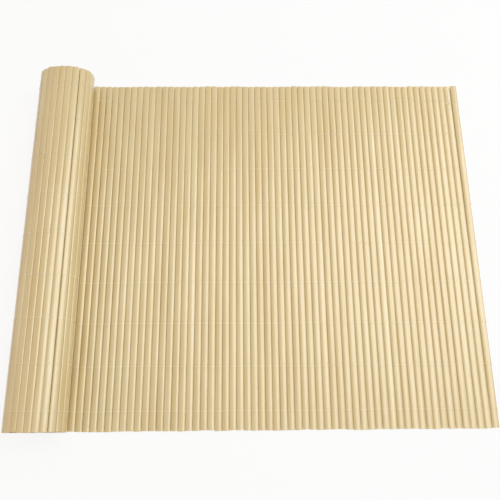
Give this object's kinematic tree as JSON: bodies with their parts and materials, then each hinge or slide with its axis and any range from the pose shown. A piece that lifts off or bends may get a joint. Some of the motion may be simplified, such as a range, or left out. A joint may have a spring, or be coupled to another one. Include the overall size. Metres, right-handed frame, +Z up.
{
  "type": "rolled pvc fence panel",
  "caption": "Flexible fence panel of hollow bamboo-coloured PVC slats laced with rows of thread, lying flat with one end rolled up; tied to a railing or fence as a screen.",
  "frame": {"origin": "middle of the bounding box on the floor that the panel lies on", "axes": "+X along the panel's length, from the roll to the free end; +Y along the slats, away from the viewer; +Z up"},
  "size_m": [1.1199, 0.9, 0.1008],
  "materials": {
    "slat": "extruded PVC, bamboo beige, satin",
    "thread": "pale nylon lacing thread"
  },
  "bodies": {
    "root": {"end_slat": "slat", "face_thread_1": "thread", "face_thread_2": "thread", "face_thread_3": "thread", "face_thread_4": "thread", "face_thread_5": "thread", "face_thread_6": "thread", "face_thread_7": "thread", "face_thread_8": "thread", "face_thread_9": "thread", "flat_slats": "slat", "floor_thread_1": "thread", "floor_thread_2": "thread", "floor_thread_3": "thread", "floor_thread_4": "thread", "floor_thread_5": "thread", "floor_thread_6": "thread", "floor_thread_7": "thread", "floor_thread_8": "thread", "floor_thread_9": "thread", "roll_turn_1": "slat", "roll_turn_2": "slat", "roll_turn_3": "slat", "roll_turn_4": "slat", "roll_turn_5": "slat", "roll_turn_6": "slat", "roll_turn_7": "slat"}
  },
  "joints": []
}
